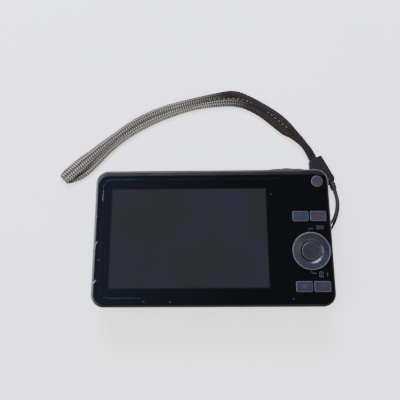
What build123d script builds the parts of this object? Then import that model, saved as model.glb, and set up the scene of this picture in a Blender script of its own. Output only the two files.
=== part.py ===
from build123d import *
from math import cos, pi, radians, sin, tan
import os

# Compact digital camera lying on its front, rear screen up.
# +X right, +Y to the shutter side, +Z out of the screen.

# Driving dimensions (mm)
body_width = 94.2
body_height = 54.6
corner_radius = 5.2
wall = 0.9
front_edge_radius = 1.5
rear_edge_radius = 1.2
ring_rise = 1.2
rear_cover_depth = 4.2
slide_gap = 0.12
seat_gap = 0.05
body_gap = 0.3
pin_gap = 0.05
swing_gap = 0.45

# Rear panels
panel_thickness = 1.0
web_thickness = 0.9
rim_left = 1.2
rim_right = 0.95
rim_bottom = 1.1
rim_top = 2.4
panel_corner = 4.0
window_inset_left = 2.15
window_inset_top = 1.65
window_inset_bottom = 2.5
window_corner = 3.4
keypad_width = 15.5
panel_seam = 0.05
window_bevel = 0.03
lcd_width = 66.0
lcd_height = 44.4
lcd_thickness = 2.2
frame_thickness = 0.5

# Battery, card and their case
battery_width = 27.6
battery_height = 38.0
battery_thickness = 5.7
card_width = 24.0
card_height = 32.0
card_thickness = 2.1
case_wall = 0.6
case_divider = 0.4
case_cover = 0.3

# Lens
lens_ring_radius = 15.5
housing_radius = 15.2
cam_bore = 13.5
barrel_wall = 0.7
outer_barrel_radius = 11.0
barrel_length = 9.6
aperture_radius = 3.6
gear_module = 0.4
cam_teeth = 64
reduction_small_teeth = 10
reduction_big_teeth = 24
pinion_teeth = 8
motor_radius = 3.0

# Controls
shutter_rise = 1.7
shutter_radius = 3.7
zoom_ring_radius = 5.3
zoom_neck_radius = 4.7
ring_radius = 7.35
set_radius = 3.6
movie_radius = 2.3
key_width = 6.3
key_height = 4.05
key_gap = 0.6
key_rise = 0.4
key_travel = 0.3

# Doors, tripod socket and strap bar
door_thickness = 0.9
door_hinge_inset = 1.5
socket_radius = 4.0
tripod_hole_radius = 2.6
tripod_hole_depth = 5.5
strap_bar_radius = 0.55
pocket_depth = 2.9
pocket_wall = 0.5
connector_cover_height = 9.0

# Strap
band_diameter = 2.4
cord_diameter = 1.0
tab_length = 13.4
tab_width = 6.8
tab_flare = 0.8
tab_thickness = 3.0
bead_radius = 1.6

# Levels above the table, from the front up
front_z = ring_rise
inner_front = front_z + wall
case_z0 = inner_front + body_gap
battery_z0 = case_z0 + case_wall
battery_z1 = battery_z0 + battery_thickness + 2 * 0.15
card_z0 = battery_z1 + case_divider
card_z1 = card_z0 + card_thickness + 2 * 0.1
case_z1 = card_z1 + case_cover
frame_z0 = case_z1 + 0.1
frame_z1 = frame_z0 + frame_thickness
lcd_z0 = frame_z1 + 0.1
lcd_z1 = lcd_z0 + lcd_thickness
web_z0 = lcd_z1 + 0.2
web_z1 = web_z0 + web_thickness
rear_z = web_z1 + panel_thickness
split_z = rear_z - rear_cover_depth
mid_z = (front_z + rear_z) / 2

# Places across the body, from its centre
half_w = body_width / 2
half_h = body_height / 2
body_y = -shutter_rise / 2
inner_w = body_width - 2 * wall
inner_h = body_height - 2 * wall
panel_left = -half_w + rim_left
panel_right = half_w - rim_right
panel_bottom = -half_h + rim_bottom
panel_top = half_h - rim_top
panel_split = panel_right - keypad_width
lcd_x = -half_w + 5.0 + lcd_width / 2
lcd_y = -0.45
pocket_x = half_w - pocket_depth
case_x1 = pocket_x - pocket_wall - body_gap
battery_x1 = case_x1 - case_wall - 0.3
battery_x0 = battery_x1 - battery_width
case_x0 = battery_x0 - 0.3 - case_wall
case_y0 = -half_h + door_thickness + 2.1
battery_y0 = case_y0 - 0.3
battery_y1 = battery_y0 + battery_height
case_y1 = battery_y1 + 1.0 + case_wall
lens_x = case_x0 - 3.5 - housing_radius
lens_y = 0.0
keys_x = panel_right - 7.75
upper_keys_y = half_h - 19.65
lower_keys_y = -half_h + 7.6
ring_y = -half_h + 21.2
movie_x = half_w - 4.8
movie_y = half_h - 5.4
shutter_x = half_w - 16.1
power_x = shutter_x - 17.0
pocket_y0 = 0.9
pocket_y1 = 6.6
pocket_z0 = 5.0
pocket_z1 = 10.5
strap_bar_x = half_w - 0.9
strap_bar_y = 3.5
strap_bar_z = 4.6
strap_bar_length = 6.3


def level(z):
    return Plane((0, body_y, z))


def downward(y):
    return Plane(origin=(0, body_y + y, 0), x_dir=(1, 0, 0), z_dir=(0, -1, 0))


def rightward(x):
    return Plane(origin=(x, body_y, 0), x_dir=(0, 1, 0), z_dir=(1, 0, 0))


def block(plane, centre, size, length, corner=0.0, mode=Mode.ADD):
    with BuildSketch(plane) as outline:
        with Locations(centre):
            if corner > 0:
                RectangleRounded(size[0], size[1], corner)
            else:
                Rectangle(size[0], size[1])
    extrude(outline.sketch, amount=length, mode=mode)


def span(plane, low, high, length, corner=0.0, mode=Mode.ADD):
    centre = ((low[0] + high[0]) / 2, (low[1] + high[1]) / 2)
    block(plane, centre, (high[0] - low[0], high[1] - low[1]), length, corner, mode)


def disc(plane, centre, radius, length, mode=Mode.ADD):
    with BuildSketch(plane) as outline:
        with Locations(centre):
            Circle(radius)
    extrude(outline.sketch, amount=length, mode=mode)


def tube(centre, outer, inner, z0, z1):
    disc(level(z0), centre, outer, z1 - z0)
    disc(level(z0), centre, inner, z1 - z0, mode=Mode.SUBTRACT)


def gear(centre, teeth, phase, z0, z1):
    pitch_radius = teeth * gear_module / 2
    tip = pitch_radius + 0.8 * gear_module
    root = pitch_radius - 1.1 * gear_module
    pitch = 2 * pi / teeth
    points = []
    for tooth in range(teeth):
        for radius, share in ((root, -0.30), (tip, -0.11), (tip, 0.11), (root, 0.30)):
            angle = phase + (tooth + share) * pitch
            points.append((centre[0] + radius * cos(angle), centre[1] + radius * sin(angle)))
    with BuildSketch(level(z0)) as outline:
        with BuildLine():
            Polyline(*points, close=True)
        make_face()
    extrude(outline.sketch, amount=z1 - z0)


# Lens drive places
reduction_angle = radians(215)
motor_angle = radians(200)
cam_pitch_radius = cam_teeth * gear_module / 2
reduction_reach = (cam_teeth + reduction_small_teeth) * gear_module / 2
motor_reach = (reduction_big_teeth + pinion_teeth) * gear_module / 2
lens_centre = (lens_x, lens_y)
reduction_x = lens_x + reduction_reach * cos(reduction_angle)
reduction_y = lens_y + reduction_reach * sin(reduction_angle)
motor_x = reduction_x + motor_reach * cos(motor_angle)
motor_y = reduction_y + motor_reach * sin(motor_angle)
middle_barrel_radius = outer_barrel_radius - barrel_wall - body_gap
inner_barrel_radius = middle_barrel_radius - barrel_wall - body_gap
barrel_z0 = 0.5
barrel_z1 = barrel_z0 + barrel_length
cam_z1 = barrel_z1 + 0.3
housing_z0 = inner_front + 0.1
housing_z1 = frame_z0 - 0.2
housing_back = housing_z1 - 0.9
big_gear_z0 = cam_z1 + 0.35
big_gear_z1 = housing_z1 - 0.3

# Doors
door_z0 = battery_z0 - 0.1
door_z1 = case_z1 - 0.15
door_mid_z = (door_z0 + door_z1) / 2
hinge_y = -half_h + door_hinge_inset
hinge_x = battery_x0 - door_hinge_inset - 0.25
door_x1 = battery_x1 + 0.25
connector_y1 = half_h - corner_radius - 0.5
connector_y0 = connector_y1 - connector_cover_height
connector_z0 = 3.8
connector_z1 = 9.8
connector_mid_y = (connector_y0 + connector_y1) / 2
socket_x = lens_x - 12.0
socket_z = 7.0

# Fasteners
boss_places = [
    (-half_w + 2.9, half_h - 6.4),
    (-half_w + 2.9, -half_h + 6.4),
    (lens_x + 13.5, -half_h + 2.4),
    (half_w - 3.9, half_h - 4.4),
]
screw_z = 8.0
bottom_screws = (-half_w + 11.0, lens_x + 9.0)

# Front windows
flash_x = -half_w + 13.6
flash_y = half_h - 8.8
flash_size = (11.0, 6.2)
lamp_x = lens_x - 13.5
lamp_y = half_h - 6.5
lamp_radius = 1.6
speaker_x = -half_w + 13.5
speaker_y = -half_h + 9.0
speaker_radius = 4.6

# Top plate
plate_z0 = front_z + 2.2
plate_z1 = rear_z - 2.4
plate_x0 = -half_w + 8.0
plate_x1 = half_w - 5.6
top_z = (plate_z0 + plate_z1) / 2
base_rise = 0.7
zoom_rise = 1.2
collar_radius = zoom_neck_radius + 0.4


# Casing

with BuildPart() as front_cover:
    block(level(front_z), (0, 0), (body_width, body_height), split_z - front_z, corner_radius)
    fillet(front_cover.faces().sort_by(Axis.Z)[0].edges(), front_edge_radius)
    block(level(inner_front), (0, 0), (inner_w, inner_h), split_z, corner_radius - wall, Mode.SUBTRACT)
    for place in boss_places:
        disc(level(front_z + wall / 2), place, 1.3, frame_z0 - front_z - wall / 2)
    # strap pocket in the right side
    span(
        rightward(pocket_x - pocket_wall),
        (pocket_y0 - pocket_wall, pocket_z0 - pocket_wall),
        (pocket_y1 + pocket_wall, pocket_z1 + pocket_wall),
        pocket_depth - 0.1,
    )
    span(
        rightward(pocket_x),
        (pocket_y0, pocket_z0),
        (pocket_y1, pocket_z1),
        2 * pocket_depth,
        0.8,
        Mode.SUBTRACT,
    )
    bar_place = (strap_bar_x, strap_bar_y)
    disc(level(strap_bar_z), bar_place, strap_bar_radius + 0.02, strap_bar_length, Mode.SUBTRACT)
    # lugs for the battery door's pin
    disc(level(inner_front - 0.3), (hinge_x, hinge_y), 1.1, door_z0 - 0.15 - inner_front + 0.3)
    span(level(door_z1 + 0.15), (hinge_x - 1.4, -half_h + wall / 2), (hinge_x + 1.4, hinge_y + 1.2), 0.75)
    disc(level(front_z + 0.5), (hinge_x, hinge_y), 0.42, split_z, Mode.SUBTRACT)
    # openings
    disc(level(0), lens_centre, lens_ring_radius - 1.2, inner_front + 1, Mode.SUBTRACT)
    block(level(0), (flash_x, flash_y), flash_size, inner_front + 1, 1.2, Mode.SUBTRACT)
    disc(level(0), (lamp_x, lamp_y), lamp_radius, inner_front + 1, Mode.SUBTRACT)
    with BuildSketch(level(0)) as grille:
        with Locations((speaker_x, speaker_y)):
            with PolarLocations(2.2, 6):
                Circle(0.45)
            Circle(0.45)
    extrude(grille.sketch, amount=inner_front + 1, mode=Mode.SUBTRACT)
    span(
        downward(-half_h + wall + 0.6),
        (hinge_x - door_hinge_inset - swing_gap, door_z0 - 0.15),
        (door_x1 + 0.15, door_z1 + 0.15),
        wall + 1.0,
        mode=Mode.SUBTRACT,
    )
    span(
        rightward(half_w - wall - 0.1),
        (connector_y0 - 0.15, connector_z0 - swing_gap),
        (connector_y1 + 0.15, connector_z1 + 0.15),
        wall + 1.0,
        0.5,
        Mode.SUBTRACT,
    )
    disc(downward(-half_h + 2), (socket_x, socket_z), socket_radius + seat_gap, 4.0, Mode.SUBTRACT)
    span(downward(half_h + 1), (plate_x0, plate_z0), (plate_x1, plate_z1), wall + 2, 1.0, Mode.SUBTRACT)
    for place in boss_places:
        disc(level(frame_z0 - 4.5), place, 0.62, 6.0, Mode.SUBTRACT)
    for x in bottom_screws:
        disc(downward(-half_h + 2), (x, screw_z), 0.62, 4.0, Mode.SUBTRACT)
        disc(downward(-half_h + 0.45), (x, screw_z), 1.1, 2.0, Mode.SUBTRACT)

with BuildPart() as rear_cover:
    block(level(split_z), (0, 0), (body_width, body_height), rear_cover_depth, corner_radius)
    fillet(rear_cover.faces().sort_by(Axis.Z)[-1].edges(), rear_edge_radius)
    block(level(split_z), (0, 0), (inner_w, inner_h), web_z0 - split_z, corner_radius - wall, Mode.SUBTRACT)
    span(
        level(web_z1),
        (panel_left, panel_bottom),
        (panel_right, panel_top),
        2 * panel_thickness,
        panel_corner,
        Mode.SUBTRACT,
    )
    block(level(web_z0 - 0.1), (lcd_x, lcd_y), (lcd_width - 2.4, lcd_height - 2.4), 2, 0.5, Mode.SUBTRACT)
    span(
        level(web_z0 - 0.1),
        (panel_split + 0.6, panel_bottom + 1.2),
        (panel_right - 0.25, panel_top - 0.4),
        2,
        1.5,
        Mode.SUBTRACT,
    )
    disc(level(web_z0 - 0.1), (keys_x, ring_y), ring_radius + 0.75, 1.5, Mode.SUBTRACT)
    disc(level(web_z0 - 0.1), (movie_x, movie_y), movie_radius + 0.8, 1.5, Mode.SUBTRACT)
    span(downward(half_h + 1), (plate_x0, plate_z0), (plate_x1, plate_z1), wall + 2, 1.0, Mode.SUBTRACT)

window_low = (panel_left + window_inset_left, panel_bottom + window_inset_bottom)
window_high = (panel_split, panel_top - window_inset_top)
with BuildPart() as rear_window:
    span(level(web_z1), window_low, window_high, panel_thickness, window_corner)
    fillet(rear_window.faces().sort_by(Axis.Z)[-1].edges(), window_bevel)

key_size = (2 * key_width + key_gap + 2 * slide_gap, key_height + 2 * slide_gap)
with BuildPart() as rear_panel:
    span(
        level(web_z1),
        (panel_left + seat_gap, panel_bottom + seat_gap),
        (panel_right - seat_gap, panel_top - seat_gap),
        panel_thickness,
        panel_corner - seat_gap,
    )
    span(
        level(web_z1),
        (window_low[0] - panel_seam, window_low[1] - panel_seam),
        (window_high[0] + panel_seam, window_high[1] + panel_seam),
        2,
        window_corner + panel_seam,
        Mode.SUBTRACT,
    )
    disc(level(web_z1), (movie_x, movie_y), movie_radius + slide_gap, 2, Mode.SUBTRACT)
    disc(level(web_z1), (keys_x, ring_y), ring_radius + slide_gap, 2, Mode.SUBTRACT)
    for keys_y in (upper_keys_y, lower_keys_y):
        block(level(web_z1), (keys_x, keys_y), key_size, 2, 0.7, Mode.SUBTRACT)

with BuildPart() as top_plate:
    span(
        downward(half_h),
        (plate_x0 + seat_gap, plate_z0 + seat_gap),
        (plate_x1 - seat_gap, plate_z1 - seat_gap),
        wall,
        1.0 - seat_gap,
    )
    disc(downward(half_h + 1), (shutter_x, top_z), collar_radius + seat_gap, wall + 2, Mode.SUBTRACT)
    block(downward(half_h + 1), (power_x, top_z), (7.0 + 0.24, 2.6 + 0.24), wall + 2, 1.2, Mode.SUBTRACT)
    with BuildSketch(downward(half_h + 1)) as microphone_holes:
        with Locations((power_x - 12, top_z)):
            with GridLocations(1.6, 1.6, 2, 2):
                Circle(0.35)
    extrude(microphone_holes.sketch, amount=wall + 2, mode=Mode.SUBTRACT)


# Frame, display and boards

with BuildPart() as main_frame:
    frame_size = (inner_w - body_gap, inner_h - body_gap)
    block(level(frame_z0), (0, 0), frame_size, frame_thickness, corner_radius - wall - 0.15)
    disc(level(frame_z0), lens_centre, 9.0, frame_thickness, Mode.SUBTRACT)
    for notch_low, notch_high in (
        ((hinge_x - 2, -half_h), (hinge_x + 2, hinge_y + 1.6)),
        ((shutter_x - 6, half_h - 3.6), (shutter_x + 6, half_h)),
    ):
        span(level(frame_z0), notch_low, notch_high, frame_thickness, mode=Mode.SUBTRACT)
    for place in boss_places:
        disc(level(frame_z0), place, 0.65, frame_thickness, Mode.SUBTRACT)
    span(level(frame_z0), (-half_w + 8, 6), (-half_w + 18, 20), frame_thickness, 1.0, Mode.SUBTRACT)
    span(level(frame_z0), (-half_w + 8, -20), (-half_w + 18, -6), frame_thickness, 1.0, Mode.SUBTRACT)
    # feet of the key board
    for y in (-half_h + 4.2, half_h - 11.0):
        disc(level(frame_z1 - 0.1), (keys_x, y), 1.2, 0.7)

with BuildPart() as frame_screws:
    for place in boss_places:
        disc(level(frame_z1), place, 1.1, 0.5)
        disc(level(frame_z0 - 4.0), place, 0.6, 4.0 + frame_thickness)

with BuildPart() as case_screws:
    for x in bottom_screws:
        disc(downward(-half_h + 0.45), (x, screw_z), 1.05, 0.35)
        disc(downward(-half_h + 2.6), (x, screw_z), 0.6, 2.2)

with BuildPart() as lcd_module:
    block(level(lcd_z0), (lcd_x, lcd_y), (lcd_width, lcd_height), lcd_thickness, 0.6)
    block(level(lcd_z1 - 0.3), (lcd_x, lcd_y), (lcd_width - 3, lcd_height - 3), 1, 0.3, Mode.SUBTRACT)
    block(level(lcd_z1 - 0.6), (lcd_x, lcd_y), (lcd_width - 3, lcd_height - 3), 0.4, 0.3)

board_z0 = frame_z1 + 0.6
main_board_z0 = 9.2
main_board_z1 = main_board_z0 + 0.8
board_z1 = board_z0 + 0.6
dome_z1 = board_z1 + 0.3
stem_z0 = dome_z1 + key_travel
flange_z0 = web_z1 - 0.7
flange_z1 = web_z1 - 0.2
key_top = rear_z + key_rise
ring_dome_reach = 5.7
key_places = {
    "playback_button": (keys_x - (key_width + key_gap) / 2, upper_keys_y),
    "camera_button": (keys_x + (key_width + key_gap) / 2, upper_keys_y),
    "menu_button": (keys_x - (key_width + key_gap) / 2, lower_keys_y),
    "option_button": (keys_x + (key_width + key_gap) / 2, lower_keys_y),
}

with BuildPart() as key_board:
    span(level(board_z0), (keys_x - 8.0, -half_h + 2.6), (keys_x + 7.0, half_h - 3.2), 0.6, 1.0)
    for place in list(key_places.values()) + [(movie_x, movie_y), (keys_x, ring_y)]:
        disc(level(board_z1), place, 1.6, 0.3)
    for quarter in range(4):
        angle = quarter * pi / 2
        reach = (keys_x + ring_dome_reach * cos(angle), ring_y + ring_dome_reach * sin(angle))
        disc(level(board_z1), reach, 1.3, 0.3)

with BuildPart() as main_board:
    span(level(main_board_z0), (-half_w + 2.0, -half_h + 3.6), (lens_x - 4.0, half_h - 3.4), 0.8, 1.0)
    disc(level(main_board_z0), lens_centre, housing_radius + 0.6, 0.8, Mode.SUBTRACT)
    disc(level(main_board_z0), (motor_x, motor_y), motor_radius + 1.0, 0.8, Mode.SUBTRACT)
    disc(level(main_board_z0), (reduction_x, reduction_y), 5.9, 0.8, Mode.SUBTRACT)
    span(level(main_board_z0), (socket_x - 7, -half_h), (lens_x, -half_h + 8.0), 0.8, mode=Mode.SUBTRACT)
    for place in boss_places[:2]:
        disc(level(main_board_z0), place, 1.6, 0.8, Mode.SUBTRACT)
    block(level(main_board_z1), (-half_w + 13.0, 0), (9.0, 9.0), 1.1, 0.3)
    block(level(main_board_z1), (-half_w + 12.0, 12.5), (7.0, 9.0), 0.9, 0.2)
    block(level(main_board_z1), (-half_w + 20.5, 16.5), (5.0, 5.0), 0.8, 0.2)


# Lens unit

with BuildPart() as lens_ring:
    disc(level(0), lens_centre, lens_ring_radius, ring_rise)
    disc(level(ring_rise), lens_centre, lens_ring_radius - 1.2 - seat_gap, wall)
    disc(level(0), lens_centre, outer_barrel_radius + body_gap, ring_rise + wall, Mode.SUBTRACT)
    chamfer(lens_ring.faces().sort_by(Axis.Z)[0].edges(), 0.35)

with BuildPart() as lens_housing:
    disc(level(housing_z0), lens_centre, housing_radius, housing_z1 - housing_z0)
    with BuildSketch(level(3.0)) as motor_arm:
        with Locations(((lens_x + motor_x) / 2, (lens_y + motor_y) / 2)):
            arm_length = ((motor_x - lens_x) ** 2 + (motor_y - lens_y) ** 2) ** 0.5
            arm_turn = Vector(motor_x - lens_x, motor_y - lens_y).get_signed_angle(Vector(-1, 0, 0))
            SlotCenterToCenter(arm_length, 2 * motor_radius + 1.4, rotation=-arm_turn)
    extrude(motor_arm.sketch, amount=3.0)
    disc(level(housing_z0), (reduction_x, reduction_y), 2.4, 8.5 - housing_z0)
    disc(level(housing_z0 - 1), lens_centre, cam_bore, housing_back - housing_z0 + 1, Mode.SUBTRACT)
    block(level(housing_back - 1), lens_centre, (9.2, 7.2), 4, mode=Mode.SUBTRACT)
    disc(level(2.0), (motor_x, motor_y), motor_radius + seat_gap, 9.0, Mode.SUBTRACT)
    disc(level(8.5), (reduction_x, reduction_y), 2.9, 5.0, Mode.SUBTRACT)
    disc(level(cam_z1 + 0.15), (reduction_x, reduction_y), 5.6, 3.0, Mode.SUBTRACT)
    disc(level(cam_z1 - 0.1), (motor_x, motor_y), 2.6, 3.0, Mode.SUBTRACT)
    disc(level(8.0), (reduction_x, reduction_y), 0.5, housing_z1 - 8.0)

with BuildPart() as cam_ring:
    tube(lens_centre, cam_pitch_radius - 0.45, outer_barrel_radius + body_gap, 2.8, cam_z1)
    gear(lens_centre, cam_teeth, reduction_angle, 9.1, cam_z1 - 0.1)
    disc(level(9.0), lens_centre, outer_barrel_radius + body_gap, 2.0, Mode.SUBTRACT)

with BuildPart() as outer_barrel:
    tube(lens_centre, outer_barrel_radius, outer_barrel_radius - barrel_wall, barrel_z0, barrel_z1)

with BuildPart() as middle_barrel:
    tube(lens_centre, middle_barrel_radius, middle_barrel_radius - barrel_wall, barrel_z0, barrel_z1)

inner_bore = inner_barrel_radius - barrel_wall
blade_pivot = inner_bore - 1.4
with BuildPart() as inner_barrel:
    disc(level(barrel_z0), lens_centre, inner_barrel_radius, barrel_length)
    disc(level(barrel_z0 + 0.6), lens_centre, inner_bore, barrel_length, Mode.SUBTRACT)
    disc(level(0), lens_centre, aperture_radius, 3, Mode.SUBTRACT)
    for side in (-1, 1):
        disc(level(barrel_z0 + 0.5), (lens_x + side * blade_pivot, lens_y), 0.3, 0.9)

blade_z0 = barrel_z0 + 0.9


def barrier_blade(side):
    blade_radius = aperture_radius + 0.3
    with BuildSketch(level(blade_z0)) as outline:
        with Locations(lens_centre):
            Circle(blade_radius)
        arm_y = lens_y + side * 0.6
        with Locations((lens_x + side * blade_pivot / 2, arm_y)):
            Rectangle(blade_pivot, 1.14)
        with Locations((lens_x + side * blade_pivot, lens_y)):
            Circle(0.75)
        with Locations((lens_x - side * 5, lens_y - side * 5 + side * 0.03)):
            Rectangle(10, 10, mode=Mode.SUBTRACT)
        with Locations((lens_x + side * 2.5, lens_y - side * 5 + side * 0.03)):
            Rectangle(5, 10, mode=Mode.SUBTRACT)
        with Locations((lens_x + side * blade_pivot, lens_y)):
            Circle(0.35, mode=Mode.SUBTRACT)
    extrude(outline.sketch, amount=0.25)


with BuildPart() as upper_barrier_blade:
    barrier_blade(1)

with BuildPart() as lower_barrier_blade:
    barrier_blade(-1)

with BuildPart() as front_lens:
    lens_plane = Plane(origin=(lens_x, body_y + lens_y, 0), x_dir=(1, 0, 0), z_dir=(0, -1, 0))
    with BuildSketch(lens_plane) as lens_profile:
        with BuildLine():
            Polyline((0, 4.4), (0, 2.0), (0.01, 2.0))
            ThreePointArc((0.01, 2.0), (2.6, 2.3), (5.0, 3.1))
            Polyline((5.0, 3.1), (inner_bore, 3.1), (inner_bore, 4.4), (0, 4.4))
        make_face()
    revolve(lens_profile.sketch, axis=Axis((lens_x, body_y + lens_y, 0), (0, 0, 1)))

rod_reach = 6.2
with BuildPart() as focus_guide_rods:
    for side in (-1, 1):
        disc(level(5.2), (lens_x, lens_y + side * rod_reach), 0.4, housing_back - 5.2)

with BuildPart() as focus_group:
    disc(level(7.6), lens_centre, inner_bore - 0.4, 1.4)
    for side in (-1, 1):
        disc(level(7.0), (lens_x, lens_y + side * rod_reach), 0.45, 3.0, Mode.SUBTRACT)

with BuildPart() as image_sensor:
    block(level(housing_back + 0.1), lens_centre, (9.0, 7.0), 0.9)

with BuildPart() as zoom_motor:
    disc(level(housing_z0), (motor_x, motor_y), motor_radius, barrel_z1 + 0.1 - housing_z0)
    disc(level(4.0), (motor_x, motor_y), 0.45, 8.0, Mode.SUBTRACT)

small_phase = reduction_angle + pi + pi / reduction_small_teeth
pinion_phase = motor_angle + pi + pi / pinion_teeth
with BuildPart() as reduction_gear:
    gear((reduction_x, reduction_y), reduction_small_teeth, small_phase, 8.9, big_gear_z0)
    gear((reduction_x, reduction_y), reduction_big_teeth, motor_angle, big_gear_z0, big_gear_z1)
    disc(level(8.0), (reduction_x, reduction_y), 0.55, 6.0, Mode.SUBTRACT)

with BuildPart() as motor_pinion:
    gear((motor_x, motor_y), pinion_teeth, pinion_phase, big_gear_z0 - 0.1, big_gear_z1)
    disc(level(5.0), (motor_x, motor_y), 0.4, big_gear_z1 - 5.0)


# Rear buttons


def key_cap(place, radius_or_size, corner):
    if corner > 0:
        wide = (radius_or_size[0], radius_or_size[1] + 1.0)
        block(level(flange_z1 - 0.1), place, radius_or_size, key_top - flange_z1 + 0.1, corner)
        block(level(flange_z0), place, wide, flange_z1 - flange_z0, corner)
    else:
        disc(level(flange_z1 - 0.1), place, radius_or_size, key_top - flange_z1 + 0.1)
        disc(level(flange_z0), place, radius_or_size + 0.5, flange_z1 - flange_z0)
    disc(level(stem_z0), place, 1.0, flange_z0 - stem_z0)


with BuildPart() as movie_button:
    key_cap((movie_x, movie_y), movie_radius, 0)
    fillet(movie_button.faces().sort_by(Axis.Z)[-1].edges(), 0.3)

keys = {}
for key_name, key_place in key_places.items():
    with BuildPart() as key:
        key_cap(key_place, (key_width, key_height), 0.5)
        fillet(key.faces().sort_by(Axis.Z)[-1].edges(), 0.25)
    keys[key_name] = key

pad_z0 = stem_z0
pad_z1 = pad_z0 + 0.55
ring_z0 = pad_z1 + 0.3
with BuildPart() as ring_pad:
    tube((keys_x, ring_y), 6.9, 4.6, pad_z0, pad_z1)

with BuildPart() as control_ring:
    ring_plane = Plane(origin=(keys_x, body_y + ring_y, 0), x_dir=(1, 0, 0), z_dir=(0, -1, 0))
    with BuildSketch(ring_plane) as ring_profile:
        with BuildLine():
            Polyline(
                (set_radius + 0.25, ring_z0),
                (ring_radius + 0.45, ring_z0),
                (ring_radius + 0.45, ring_z0 + 0.4),
                (ring_radius, ring_z0 + 0.4),
                (ring_radius, key_top),
                (ring_radius - 0.5, key_top + 0.1),
                (set_radius + 1.3, key_top - 0.25),
                (set_radius + 0.25, key_top - 0.75),
                close=True,
            )
        make_face()
    revolve(ring_profile.sketch, axis=Axis((keys_x, body_y + ring_y, 0), (0, 0, 1)))

with BuildPart() as set_button:
    disc(level(ring_z0 - 0.2), (keys_x, ring_y), set_radius, key_top - 0.1 - ring_z0 + 0.2)
    fillet(set_button.faces().sort_by(Axis.Z)[-1].edges(), 0.3)
    disc(level(pad_z0 + 0.1), (keys_x, ring_y), set_radius + 0.6, ring_z0 - 0.2 - pad_z0 - 0.1)
    disc(level(stem_z0), (keys_x, ring_y), 1.2, 0.2)


# Top controls

base_y0 = half_h + base_rise
with BuildPart() as shutter_base:
    with BuildSketch(downward(half_h + base_rise)) as base_outline:
        with Locations((shutter_x, top_z + 0.2)):
            SlotOverall(19.0, 11.8)
    extrude(base_outline.sketch, amount=base_rise, taper=-25)
    disc(downward(half_h), (shutter_x, top_z), collar_radius, wall)
    disc(downward(half_h + 2), (shutter_x, top_z), zoom_neck_radius + 0.08, 6.0, Mode.SUBTRACT)

with BuildPart() as zoom_lever:
    disc(downward(half_h + zoom_rise), (shutter_x, top_z), zoom_ring_radius, zoom_rise - base_rise - 0.1)
    block(
        downward(half_h + zoom_rise),
        (shutter_x, top_z - zoom_ring_radius),
        (2.6, 2.2),
        zoom_rise - base_rise - 0.1,
        0.5,
    )
    disc(downward(half_h + 0.9), (shutter_x, top_z), zoom_neck_radius, 2.7)
    disc(downward(half_h - wall - 0.4), (shutter_x, top_z), collar_radius - 0.1, 0.5)
    disc(downward(half_h + 3), (shutter_x, top_z), shutter_radius + 0.3, 8, Mode.SUBTRACT)

with BuildPart() as shutter_button:
    disc(downward(half_h + shutter_rise), (shutter_x, top_z), shutter_radius, 1.6)
    fillet(shutter_button.faces().sort_by(Axis.Y)[-1].edges(), 0.4)
    disc(downward(half_h + 0.2), (shutter_x, top_z), 1.2, 2.4)

with BuildPart() as power_button:
    block(downward(half_h + 0.15), (power_x, top_z), (7.0, 2.6), 1.0, 1.1)
    block(downward(half_h - wall - 0.15), (power_x, top_z), (8.2, 3.8), 0.5, 1.0)
    disc(downward(half_h - wall - 0.5), (power_x, top_z), 0.9, 0.9)
    disc(downward(half_h), (power_x, top_z), 0.6, 1.6)

with BuildPart() as release_board:
    span(downward(half_h - 3.6), (power_x - 5, 4.6), (shutter_x + 8.2, 12.4 - 0.6), 0.8, 0.6)
    disc(downward(half_h - 2.9), (shutter_x, top_z), 2.0, 0.75)
    disc(downward(half_h - 2.6), (power_x, top_z), 1.6, 1.05)


# Front windows and their units

with BuildPart() as flash_window:
    block(
        level(front_z),
        (flash_x, flash_y),
        (flash_size[0] - 0.1, flash_size[1] - 0.1),
        wall,
        1.2 - seat_gap,
    )

with BuildPart() as flash_unit:
    unit_size = (flash_size[0] + 1, flash_size[1] + 1)
    mirror_size = (flash_size[0] - 1, flash_size[1] - 1)
    block(level(inner_front + 0.1), (flash_x, flash_y), unit_size, 5.0, 0.6)
    block(level(inner_front), (flash_x, flash_y), mirror_size, 3.6, 0.8, Mode.SUBTRACT)
    disc(rightward(flash_x - flash_size[0] / 2), (flash_y, inner_front + 2.4), 0.8, flash_size[0])

with BuildPart() as flash_capacitor:
    disc(downward(10.5), (-half_w + 6.2, 5.6), 3.3, 27.0)
    fillet(flash_capacitor.faces().sort_by(Axis.Y)[0].edges(), 0.6)

with BuildPart() as af_lamp:
    disc(level(front_z + 0.1), (lamp_x, lamp_y), lamp_radius - seat_gap, wall)
    disc(level(inner_front + 0.1), (lamp_x, lamp_y), lamp_radius + 0.4, 2.0)

with BuildPart() as speaker:
    disc(level(inner_front + 0.1), (speaker_x, speaker_y), speaker_radius, 2.6)
    disc(level(inner_front), (speaker_x, speaker_y), speaker_radius - 0.8, 0.6, Mode.SUBTRACT)


# Battery bay

with BuildPart() as battery_case:
    span(level(case_z0), (case_x0, case_y0), (case_x1, case_y1), case_z1 - case_z0)
    span(
        level(battery_z0),
        (case_x0 + case_wall, case_y0 - 5),
        (case_x1 - case_wall, battery_y1 + 1.0),
        battery_z1 - battery_z0,
        mode=Mode.SUBTRACT,
    )
    span(
        level(card_z0),
        (case_x0 + case_wall, case_y0 - 5),
        (case_x1 - case_wall, battery_y0 + card_height + 1.6),
        card_z1 - card_z0,
        mode=Mode.SUBTRACT,
    )

with BuildPart() as battery:
    battery_low = (battery_x0, battery_y0)
    battery_high = (battery_x1, battery_y1)
    span(level(battery_z0 + 0.15), battery_low, battery_high, battery_thickness, 0.8)

with BuildPart() as battery_contacts:
    for blade in range(3):
        x = battery_x0 + 6.0 + blade * 4.0
        span(level(battery_z0), (x, battery_y1), (x + 1.2, battery_y1 + 1.0), 3.6)

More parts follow.
